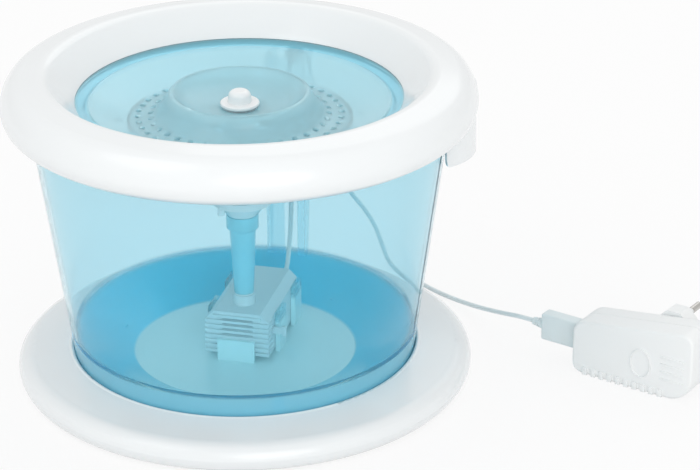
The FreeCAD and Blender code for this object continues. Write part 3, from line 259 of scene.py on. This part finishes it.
def clear(name, tint, milk, share=0.1, rough=0.05, zones=(), **sockets):
    """Tinted clear plastic with some milk in it, which lets the lamps' light through.

    zones is a function that takes the finish and returns the milk's colour and share over the piece; the
    tub's zones paint shade and light into that milk.
    """
    finish = Finish(name, Transmission_Weight=1.0, IOR=1.12, Base_Color=tint, **sockets)
    spot = finish.spot()
    cloud = finish.noise(spot, 9.0)
    finish.set(Roughness=cloud * 0.03 + (rough - 0.015))
    milky = finish.tree.nodes.new("ShaderNodeBsdfPrincipled")
    for key, value in (("Roughness", 0.28), ("Coat Weight", 0.4), ("Coat Roughness", 0.08)):
        milky.inputs[key].default_value = value
    if zones:
        milk, share = zones(finish, milk, share)
    finish.feed(milky.inputs["Base Color"], milk)
    blend = finish.blend(share, finish.shader.outputs[0], milky.outputs[0])
    lamp_side = finish.tree.nodes.new("ShaderNodeBsdfTransparent")
    lamp_side.inputs["Color"].default_value = root_tint(tint)
    rays = finish.node("ShaderNodeLightPath", output="Is Shadow Ray")
    finish.show(finish.blend(rays, blend, lamp_side.outputs[0]))
    return finish.material


def tub_painted_light_zones(finish, milk, share):
    """The tub's blue floor deepened with painted shade where it is conical, for the shaded white base seen
    through it, and paler over the sump; milk painted into the skirt as painted light; nearly clear walls.
    """
    x, y, height = finish.axes()
    radius = (x * x + y * y) ** 0.5
    inner = finish.ramp(radius, *WALL_EDGE)
    sump = finish.ramp(radius, *SUMP_EDGE)
    # The conical floor: deep blue painted shade for the white base lying in shade beneath the blue floor
    floor = finish.ramp(height, *PAINTED_FLOOR_SHADE_EDGE) * inner
    # The low outer wall: milk painted in as painted light, brightening what the closed space behind renders
    # dark
    skirt = finish.ramp(height, *PAINTED_SKIRT_LIGHT_EDGE) * (1 - inner)
    # The floor's painted shade: deep blue on the cone, paler over the sump
    tone = finish.mix(sump, colour(84, 224, 255), colour(222, 252, 255))
    return finish.mix(floor, milk, tone), floor * 0.7 + skirt * 0.34 + share


def dish_zones(finish, milk, share):
    """A deeper band of blue outside the dish's bead."""
    x, y, _height = finish.axes()
    radius = (x * x + y * y) ** 0.5
    band = finish.ramp(radius, *BAND_START) * finish.ramp(radius, *BAND_END)
    return finish.mix(band, milk, colour(150, 226, 246)), share


def make_finishes(looks):
    """One material for each of the record's slots."""
    white = moulded("white gloss plastic", tuple(looks.white), 0.2, 500.0, 0.00001, Coat_Weight=0.35,
                    Coat_Roughness=0.12)
    return {
        "white_plastic": white,
        # The tub's milk is painted light in its skirt, and its zones paint shade on the floor
        "blue_clear_plastic": clear("clear blue plastic", tuple(looks.wall_blue), colour(150, 226, 248), 0.08,
                                    zones=tub_painted_light_zones),
        "dish_plastic": clear("milky blue plastic", colour(228, 247, 252), tuple(looks.dish_blue), 0.42, 0.1,
                              zones=dish_zones),
        "clear_pipe_plastic": clear("clear pipe plastic", colour(214, 246, 252), colour(176, 240, 253), 0.55),
        # The pump's white is darkened and tinted blue-grey: painted shade for its place inside the tub, under
        # the ring
        "pump_plastic": moulded("off-white pump plastic with painted shade", tuple(looks.pump_white_painted_shade), 0.4),
        "rubber_white": moulded("pale rubber", colour(214, 222, 224), 0.6),
        "foam": moulded("open-cell foam", colour(206, 216, 218), 0.95, 1400.0, 0.0006),
        "steel": moulded("plain steel", colour(190, 190, 192), 0.3, Metallic=1.0),
        "nickel": moulded("nickel plate", colour(196, 194, 190), 0.16, Metallic=1.0),
        "copper": moulded("enamelled copper", colour(190, 110, 62), 0.3, Metallic=1.0),
        "magnet": moulded("bonded ferrite", colour(58, 58, 62), 0.5),
        "cord_skin": moulded("smooth pale cord", tuple(looks.cord_grey), 0.42),
        "adapter_plastic": moulded("satin off-white plastic", colour(241, 243, 243), 0.45, 1500.0),
        "board": moulded("circuit board", colour(62, 128, 78), 0.4),
    }


FINISHES = {}
SLOTS = {entry["node"]: entry["material_slot"] for entry in frame["record"]["subparts"]}
CORD_POINTS = [(1, 116, 145.6), (1, 128, 145.6), (4, 133, 128), (10, 131, 98), (17, 131, 72), (26, 135.4, 52),
               (34.3, 141.2, 39), (41, 145.5, 26), (45, 148.5, 12), (48.5, 148.3, 3.6), (53.5, 142.5, 1.4),
               (64.5, 130, 1.4), (86, 112, 1.4), (111.3, 93, 4.6), (133.7, 72, 12.5), (142.1, 63.15, 16.5),
               (151.4, 59.6, 16.5)]


def finish_piece(piece, slot_name, body, *nodes):
    """Gives a finished piece its material, slot and body, and hides the CAD nodes it stands for."""
    piece.data.materials.clear()
    piece.data.materials.append(FINISHES[slot_name])
    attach(piece, body)
    if nodes:
        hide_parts(*nodes)
    return piece


def tone(name, description, default):
    """A colour property."""
    return bpy.props.FloatVectorProperty(name=name, description=description, subtype="COLOR", size=4, min=0.0,
                                         max=1.0, default=default)


class FountainLooks(bpy.types.PropertyGroup):
    """Colours of the fountain's materials"""
    white: tone("White plastic", "Colour of the ring, the base and the cap", colour(238, 241, 242))
    wall_blue: tone("Tub blue", "Tint of one wall of the tub", colour(226, 246, 251))
    dish_blue: tone("Dish blue", "Colour of the milk in the dish's plastic", colour(196, 236, 244))
    # Darker and bluer than the pump's white: painted shade for the inside of the tub
    pump_white_painted_shade: tone("Pump", "Colour of the pump's shell", colour(208, 224, 228))
    cord_grey: tone("Cord", "Colour of the cord and the plug", colour(226, 236, 238))


class FountainSizes(bpy.types.PropertyGroup):
    """Sizes of the mesh-built pieces"""
    cord_thickness: bpy.props.FloatProperty(
        name="Cord thickness", description="Diameter of the supply cord", unit="LENGTH", subtype="DISTANCE",
        default=0.0026, min=0.0015, max=0.004)
    hood_wall: bpy.props.FloatProperty(
        name="Hood wall", description="Thickness of the finger hood", unit="LENGTH", subtype="DISTANCE",
        default=0.0022, min=0.001, max=0.003)
    round_steps: bpy.props.IntProperty(
        name="Round steps", description="Steps of a full turn in the round pieces", default=160, min=48,
        max=240)


class FountainFinishes(bpy.types.Operator):
    """Gives every CAD node its material"""
    bl_idname = "fountain.finishes"
    bl_label = "Finishes"

    def execute(self, context):
        FINISHES.update(make_finishes(context.scene.fountain_looks))
        for name, thing in NODES.items():
            thing.data.materials.clear()
            thing.data.materials.append(FINISHES[SLOTS[name]])
        return {"FINISHED"}


def soften(shape, geom, offset, segments, affect="EDGES", clamp=False):
    """Rounds edges or corners, by an offset in metres."""
    bmesh.ops.bevel(shape, geom=geom, offset=offset, offset_type="OFFSET", segments=segments, profile=0.5,
                    affect=affect, clamp_overlap=clamp, material=-1)


def only_verts(geom):
    """The vertices among what an operator returned."""
    return [item for item in geom if isinstance(item, bmesh.types.BMVert)]


def pull(shape, faces, offset):
    """Extrudes faces by an offset in metres."""
    grown = bmesh.ops.extrude_face_region(shape, geom=faces)["geom"]
    bmesh.ops.translate(shape, vec=offset, verts=only_verts(grown))


def corner_loop(shape, corners):
    """Adds a closed outline in the XZ plane from (r, z, rounding) corners in millimetres, as one face."""
    verts = [shape.verts.new((corner[0] * MM, 0, corner[1] * MM)) for corner in corners]
    shape.faces.new(verts)
    for vert, corner in zip(verts, corners):
        if len(corner) > 2:
            soften(shape, [vert], corner[2] * MM, 8, "VERTICES", clamp=True)


def made_object(name, shape, sharp=35):
    """Makes an object of a bmesh: doubles merged, faces outwards, all but sharp edges smooth."""
    bmesh.ops.remove_doubles(shape, verts=shape.verts, dist=0.000004)
    bmesh.ops.recalc_face_normals(shape, faces=shape.faces)
    for face in shape.faces:
        face.smooth = True
    mesh = bpy.data.meshes.new(name)
    shape.to_mesh(mesh)
    shape.free()
    mesh.set_sharp_from_angle(angle=math.radians(sharp))
    piece = bpy.data.objects.new(name, mesh)
    bpy.context.scene.collection.objects.link(piece)
    return piece


def spun(shape, corners, steps=0):
    """Spins a closed outline round the axis."""
    steps = steps or bpy.context.scene.fountain_sizes.round_steps
    corner_loop(shape, corners)
    bmesh.ops.delete(shape, geom=shape.faces[:], context="FACES_ONLY")
    bmesh.ops.spin(shape, geom=shape.verts[:] + shape.edges[:], cent=(0, 0, 0), axis=(0, 0, 1),
                   dvec=(0, 0, 0), angle=math.tau, steps=steps, use_merge=True, use_duplicate=False)


class FountainRing(bpy.types.Operator):
    """Makes the white ring with its finger hood"""
    bl_idname = "fountain.ring"
    bl_label = "Top ring"

    def execute(self, context):
        shape = bmesh.new()
        spun(shape, RING_OUTLINE)
        finish_piece(made_object("ring_shell", shape, 50), "white_plastic", "lid", "top_ring")
        self.make_hood()
        self.make_rib()
        return {"FINISHED"}

    def make_hood(self):
        """A curved apron under the ring, over the tub's rim, with rounded lower corners."""
        shape = bmesh.new()
        start = HOOD_TURN - HOOD_HALF_TURN
        x, y = HOOD_PLACE * math.cos(HOOD_TURN), HOOD_PLACE * math.sin(HOOD_TURN)
        low = shape.verts.new((x + HOOD_RADIUS * math.cos(start), y + HOOD_RADIUS * math.sin(start),
                               HOOD_LOW))
        high = shape.verts.new((low.co.x, low.co.y, HOOD_TOP))
        edge = shape.edges.new((low, high))
        bmesh.ops.spin(shape, geom=[low, high, edge], cent=(x, y, 0), axis=(0, 0, 1), dvec=(0, 0, 0),
                       angle=2 * HOOD_HALF_TURN, steps=44, use_merge=False, use_duplicate=False)
        bmesh.ops.remove_doubles(shape, verts=shape.verts, dist=0.00001)
        corners = [vert for vert in shape.verts if len(vert.link_edges) == 2 and vert.co.z < HOOD_LOW + 0.002]
        soften(shape, corners, HOOD_CORNER, 6, "VERTICES")
        bmesh.ops.recalc_face_normals(shape, faces=shape.faces)
        hood = made_object("finger_hood", shape, 50)
        wall = hood.modifiers.new("wall", "SOLIDIFY")
        wall.thickness = bpy.context.scene.fountain_sizes.hood_wall
        wall.offset = -1 if self.faces_out(hood, x, y) else 1
        rounded = hood.modifiers.new("rounded", "BEVEL")
        rounded.width = 0.0009
        rounded.segments = 3
        rounded.limit_method = "ANGLE"
        finish_piece(hood, "white_plastic", "lid")

    def faces_out(self, hood, x, y):
        """Says whether the hood's faces point away from its own axis."""
        face = hood.data.polygons[0]
        return (face.center.x - x) * face.normal.x + (face.center.y - y) * face.normal.y > 0

    def make_rib(self):
        """The rib inside the ring that holds the dish and the tray down."""
        shape = bmesh.new()
        spun(shape, RIB_OUTLINE, 120)
        finish_piece(made_object("ring_rib", shape, 50), "white_plastic", "lid")


class FountainDish(bpy.types.Operator):
    """Makes the drinking dish with its crater, its bead and two rows of drain holes"""
    bl_idname = "fountain.dish"
    bl_label = "Drinking dish"

    def execute(self, context):
        shape = bmesh.new()
        spun(shape, DISH_OUTLINE, 200)
        dish = made_object("dish_shell", shape, 60)
        punch = bmesh.new()
        for radius, count, first in DRAIN_ROWS:
            for index in range(count):
                turn = math.tau * index / count + math.radians(first)
                made = bmesh.ops.create_cone(punch, cap_ends=True, segments=16, radius1=DRAIN_RADIUS,
                                             radius2=DRAIN_RADIUS, depth=0.016)["verts"]
                spot = (radius * math.cos(turn), radius * math.sin(turn), DRAIN_HEIGHT)
                bmesh.ops.translate(punch, vec=spot, verts=made)
        cutter = made_object("drain_punch", punch)
        holes = dish.modifiers.new("holes", "BOOLEAN")
        holes.object = cutter
        holes.solver = "EXACT"
        shown = dish.evaluated_get(bpy.context.evaluated_depsgraph_get())
        drilled = bpy.data.meshes.new_from_object(shown)
        dish.modifiers.clear()
        dish.data = drilled
        bpy.data.objects.remove(cutter)
        finish_piece(dish, "dish_plastic", "lid", "drinking_dish")
        return {"FINISHED"}


def to_adapter(shape):
    """Moves a bmesh from the adapter's own frame (along, deep, up) to its place beside the fountain."""
    turn = Matrix.Rotation(ADAPTER_TURN, 4, "Z")
    bmesh.ops.transform(shape, matrix=Matrix.Translation(ADAPTER_PLACE) @ turn, verts=shape.verts)


def block(shape, low, high):
    """Adds a box between two corners in millimetres and returns its vertices."""
    made = bmesh.ops.create_cube(shape, size=1)["verts"]
    bmesh.ops.scale(shape, vec=[(b - a) * MM for a, b in zip(low, high)], verts=made)
    bmesh.ops.translate(shape, vec=[(a + b) / 2 * MM for a, b in zip(low, high)], verts=made)
    return made


class FountainAdapter(bpy.types.Operator):
    """Makes the adapter's soft-cornered body with its oval, grip lines and notches"""
    bl_idname = "fountain.adapter"
    bl_label = "Plug-in adapter"

    def execute(self, context):
        shape = bmesh.new()
        self.make_half(shape, 1.0, MOULD_LINE - MOULD_GAP, 1.8)
        self.make_half(shape, MOULD_LINE + MOULD_GAP, 27.8, 5.5)
        core = self.side_outline(shape, 1.2, MOULD_LINE - 1)
        pull(shape, [core], (0, 2 * MM, 0))
        self.make_head(shape)
        to_adapter(shape)
        body = made_object("adapter_body", shape, 40)
        finish_piece(body, "adapter_plastic", "adapter", "adapter_front_shell", "adapter_rear_shell")
        self.make_reliefs()
        return {"FINISHED"}

    def side_outline(self, shape, inset, deep):
        """One face with the adapter's side outline: its corners are rounded, the lower right one widely."""
        corners = [(inset, inset, 6), (ADAPTER_LONG - inset, inset, 15),
                   (ADAPTER_LONG - inset, ADAPTER_TALL - inset, 7), (inset, ADAPTER_LOW_END - inset, 7)]
        verts = [shape.verts.new((x * MM, deep * MM, z * MM)) for x, z, _rounding in corners]
        shape.faces.new(verts)
        for vert, (_x, _z, rounding) in zip(verts, corners):
            soften(shape, [vert], rounding * MM, 8, "VERTICES")
        return [item for item in shape.faces if abs(item.calc_center_median().y - deep * MM) < 1e-6][-1]

    def make_half(self, shape, low, high, soft):
        """One shell of the body, with a soft outer edge; the other side is at the mould line."""
        pull(shape, [self.side_outline(shape, 0.0, low)], (0, (high - low) * MM, 0))
        outer = low if low < MOULD_LINE else high
        rim = [edge for edge in shape.edges
               if all(abs(vert.co.y - outer * MM) < 1e-6 for vert in edge.verts)]
        soften(shape, rim, soft * MM, 6)

    def make_head(self, shape):
        """The plug's raised head: a block with chamfered long edges and a softened end."""
        made = block(shape, (36.5, 27.0, 4.9), (60.5, 38.0, 38.9))
        sides = [edge for edge in {edge for vert in made for edge in vert.link_edges}
                 if abs(edge.verts[0].co.y - edge.verts[1].co.y) > 0.001]
        soften(shape, sides, 8 * MM, 1)
        end = [edge for edge in shape.edges if all(vert.co.y > 0.0375 for vert in edge.verts)]
        soften(shape, end, 1.2 * MM, 3)

    def make_reliefs(self):
        """The raised oval, the grip lines and the row of feet along the lower edge."""
        shape = bmesh.new()
        ring = bmesh.ops.create_circle(shape, segments=40, radius=1)["verts"]
        edges = shape.edges[:]
        bmesh.ops.scale(shape, vec=(6.4 * MM, 8.8 * MM, 1), verts=ring)
        bmesh.ops.rotate(shape, cent=(0, 0, 0), matrix=Matrix.Rotation(math.radians(90), 3, "X"), verts=ring)
        centre = Vector(OVAL_CENTRE)
        bmesh.ops.translate(shape, vec=centre, verts=ring)
        for vert in only_verts(bmesh.ops.extrude_edge_only(shape, edges=edges)["geom"]):
            vert.co = centre + (vert.co - centre) * 0.9
        pull(shape, shape.faces[:], (0, -0.9 * MM, 0))
        for index in range(4):
            low = 10.6 + 4.4 * index
            block(shape, (55.5, 0.45, low), (69.5, 1.3, low + 1.2))
        for index in range(10):
            left = 7.4 + 5.2 * index
            block(shape, (left, 0.1, 0.2), (left + 2.8, 3.0, 4.6))
        lines = [edge for edge in shape.edges if len(edge.link_faces) == 2]
        soften(shape, lines, 0.12 * MM, 2)
        to_adapter(shape)
        finish_piece(made_object("adapter_reliefs", shape, 40), "adapter_plastic", "adapter")


class FountainFoams(bpy.types.Operator):
    """Makes the filter pad and the pump's intake foam"""
    bl_idname = "fountain.foams"
    bl_label = "Foams"

    def execute(self, context):
        shape = bmesh.new()
        (_x, _y, low), (_u, _v, high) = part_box("filter_pad")
        low, high = low / MM, high / MM
        spun(shape, [(17.4, low, 1.2), (58.6, low, 1.6), (58.9, high, 1.6), (17.2, high, 1.2)], 96)
        pad = finish_piece(made_object("filter_pad_foam", shape, 80), "foam", "lid", "filter_pad")
        shape = bmesh.new()
        first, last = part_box("intake_foam")
        bmesh.ops.create_cube(shape, size=1)
        bmesh.ops.scale(shape, vec=[last[i] - first[i] - FOAM_PLAY for i in range(3)], verts=shape.verts)
        bmesh.ops.translate(shape, vec=[(first[i] + last[i]) / 2 for i in range(3)], verts=shape.verts)
        soften(shape, shape.edges[:], 1.2 * MM, 4)
        block = finish_piece(made_object("intake_foam_block", shape, 80), "foam", "stand", "intake_foam")
        return {"FINISHED"}


def round_plug_axis(shape, corners):
    """Spins an outline of (along, radius) corners round the USB plug's axis, in the adapter's own frame."""
    verts = [shape.verts.new((along * MM, PLUG_Y * MM, (PLUG_Z + radius) * MM)) for along, radius in corners]
    edges = [shape.edges.new(pair) for pair in zip(verts, verts[1:])]
    bmesh.ops.spin(shape, geom=verts + edges, cent=(0, PLUG_Y * MM, PLUG_Z * MM), axis=(1, 0, 0),
                   dvec=(0, 0, 0), angle=math.tau, steps=40, use_merge=True, use_duplicate=False)


class FountainCord(bpy.types.Operator):
    """Lays the supply cord from the grommet to the USB plug"""
    bl_idname = "fountain.cord"
    bl_label = "Cord"

    def execute(self, context):
        self.make_plug()
        curve = bpy.data.curves.new("supply_cord_skin", "CURVE")
        curve.dimensions = "3D"
        spline = curve.splines.new("NURBS")
        spline.points.add(len(CORD_POINTS) - 1)
        for point, spot in zip(spline.points, CORD_POINTS):
            point.co = (*(value * MM for value in spot), 1.0)
        spline.order_u = 3
        spline.use_endpoint_u = True
        spline.resolution_u = 16
        curve.bevel_depth = context.scene.fountain_sizes.cord_thickness / 2
        curve.bevel_resolution = 5
        curve.use_fill_caps = True
        cord = bpy.data.objects.new("supply_cord_skin", curve)
        bpy.context.scene.collection.objects.link(cord)
        finish_piece(cord, "cord_skin", "stand", "supply_cord")
        return {"FINISHED"}

    def make_plug(self):
        """The USB plug's grip and the ribbed sleeve where the cord leaves it."""
        grip = bmesh.new()
        block(grip, (-25.4, PLUG_Y - 4.2, PLUG_Z - 8), (-0.4, PLUG_Y + 4.2, PLUG_Z + 8))
        soften(grip, grip.edges[:], 1.3 * MM, 4)
        to_adapter(grip)
        finish_piece(made_object("usb_grip", grip, 50), "cord_skin", "stand", "usb_plug")
        relief = bmesh.new()
        round_plug_axis(relief, SLEEVE_OUTLINE)
        to_adapter(relief)
        finish_piece(made_object("strain_relief_sleeve", relief, 60), "cord_skin", "stand", "strain_relief")


class FountainStage(bpy.types.Operator):
    """Sets the floor, the lamps, the world and the camera"""
    bl_idname = "fountain.stage"
    bl_label = "Stage"

    def execute(self, context):
        scene = bpy.context.scene
        scene.view_settings.view_transform = "Standard"
        mesh = bpy.data.meshes.new("floor")
        shape = bmesh.new()
        bmesh.ops.create_grid(shape, x_segments=1, y_segments=1, size=6)
        shape.to_mesh(mesh)
        shape.free()
        floor = bpy.data.objects.new("floor", mesh)
        scene.collection.objects.link(floor)
        floor.data.materials.append(stage_material())
        white_world(scene)
        for name, spot, size, power in LAMPS:
            lamp = bpy.data.lights.new(name, "AREA")
            lamp.shape = "DISK"
            lamp.size = size
            lamp.energy = power
            holder = bpy.data.objects.new(name, lamp)
            scene.collection.objects.link(holder)
            holder.location = spot
            aim = Vector(LAMP_AIM) - Vector(spot)
            holder.rotation_euler = aim.to_track_quat("-Z", "Y").to_euler()
        lens = bpy.data.cameras.new("camera")
        lens.lens = CAMERA_LENS
        lens.sensor_width = 36.0
        lens.clip_end = 20.0
        camera = bpy.data.objects.new("camera", lens)
        camera.location = CAMERA_PLACE
        camera.rotation_euler = [math.radians(turn) for turn in CAMERA_TURN]
        scene.collection.objects.link(camera)
        scene.camera = camera
        return {"FINISHED"}


def any_ray(tree, *kinds):
    """1 for rays of any of the named kinds, else 0."""
    rays = tree.nodes.new("ShaderNodeLightPath")
    shown = Wire(tree, rays.outputs[kinds[0]])
    for kind in kinds[1:]:
        shown = shown.largest(Wire(tree, rays.outputs[kind]))
    return shown


def stage_material():
    """A pale floor that shows white to the camera and keeps most of a shadow."""
    finish = Finish("pale floor", Base_Color=(0.86, 0.86, 0.86, 1.0), Roughness=0.9)
    glow = finish.tree.nodes.new("ShaderNodeEmission")
    seen = any_ray(finish.tree, "Is Camera Ray", "Is Transmission Ray", "Is Glossy Ray")
    finish.show(finish.blend(seen * FLOOR_GLOW, finish.shader.outputs[0], glow.outputs[0]))
    return finish.material


def white_world(scene):
    """A white surround whose light on the object is softer than its look."""
    world = bpy.data.worlds.new("studio")
    scene.world = world
    world.use_nodes = True
    tree = world.node_tree
    ground = tree.nodes["Background"]
    strength = any_ray(tree, "Is Camera Ray", "Is Transmission Ray") * (1 - WORLD_LIGHT) + WORLD_LIGHT
    tree.links.new(strength.socket, ground.inputs["Strength"])
    ground.inputs["Color"].default_value = (1.0, 1.0, 1.0, 1.0)


class FountainPanel(bpy.types.Panel):
    """Lists the fountain's looks, sizes and pieces"""
    bl_idname = "FOUNTAIN_PT_pieces"
    bl_label = "Pet water fountain"
    bl_space_type = "VIEW_3D"
    bl_region_type = "UI"
    bl_category = "Fountain"

    def draw(self, context):
        column = self.layout.column()
        for group in (context.scene.fountain_looks, context.scene.fountain_sizes):
            for name in group.__annotations__:
                column.prop(group, name)
        for item in PIECES:
            column.operator(item.bl_idname)


PIECES = (FountainFinishes, FountainCord, FountainRing, FountainDish, FountainFoams, FountainAdapter,
          FountainStage)
CLASSES = (FountainLooks, FountainSizes, *PIECES, FountainPanel)


def register():
    for item in CLASSES:
        bpy.utils.register_class(item)
    bpy.types.Scene.fountain_looks = bpy.props.PointerProperty(type=FountainLooks)
    bpy.types.Scene.fountain_sizes = bpy.props.PointerProperty(type=FountainSizes)


def unregister():
    del bpy.types.Scene.fountain_sizes
    del bpy.types.Scene.fountain_looks
    for item in reversed(CLASSES):
        bpy.utils.unregister_class(item)


def main():
    register()
    for item in PIECES:
        group, name = item.bl_idname.split(".")
        getattr(getattr(bpy.ops, group), name)()


if __name__ == "__main__":
    main()
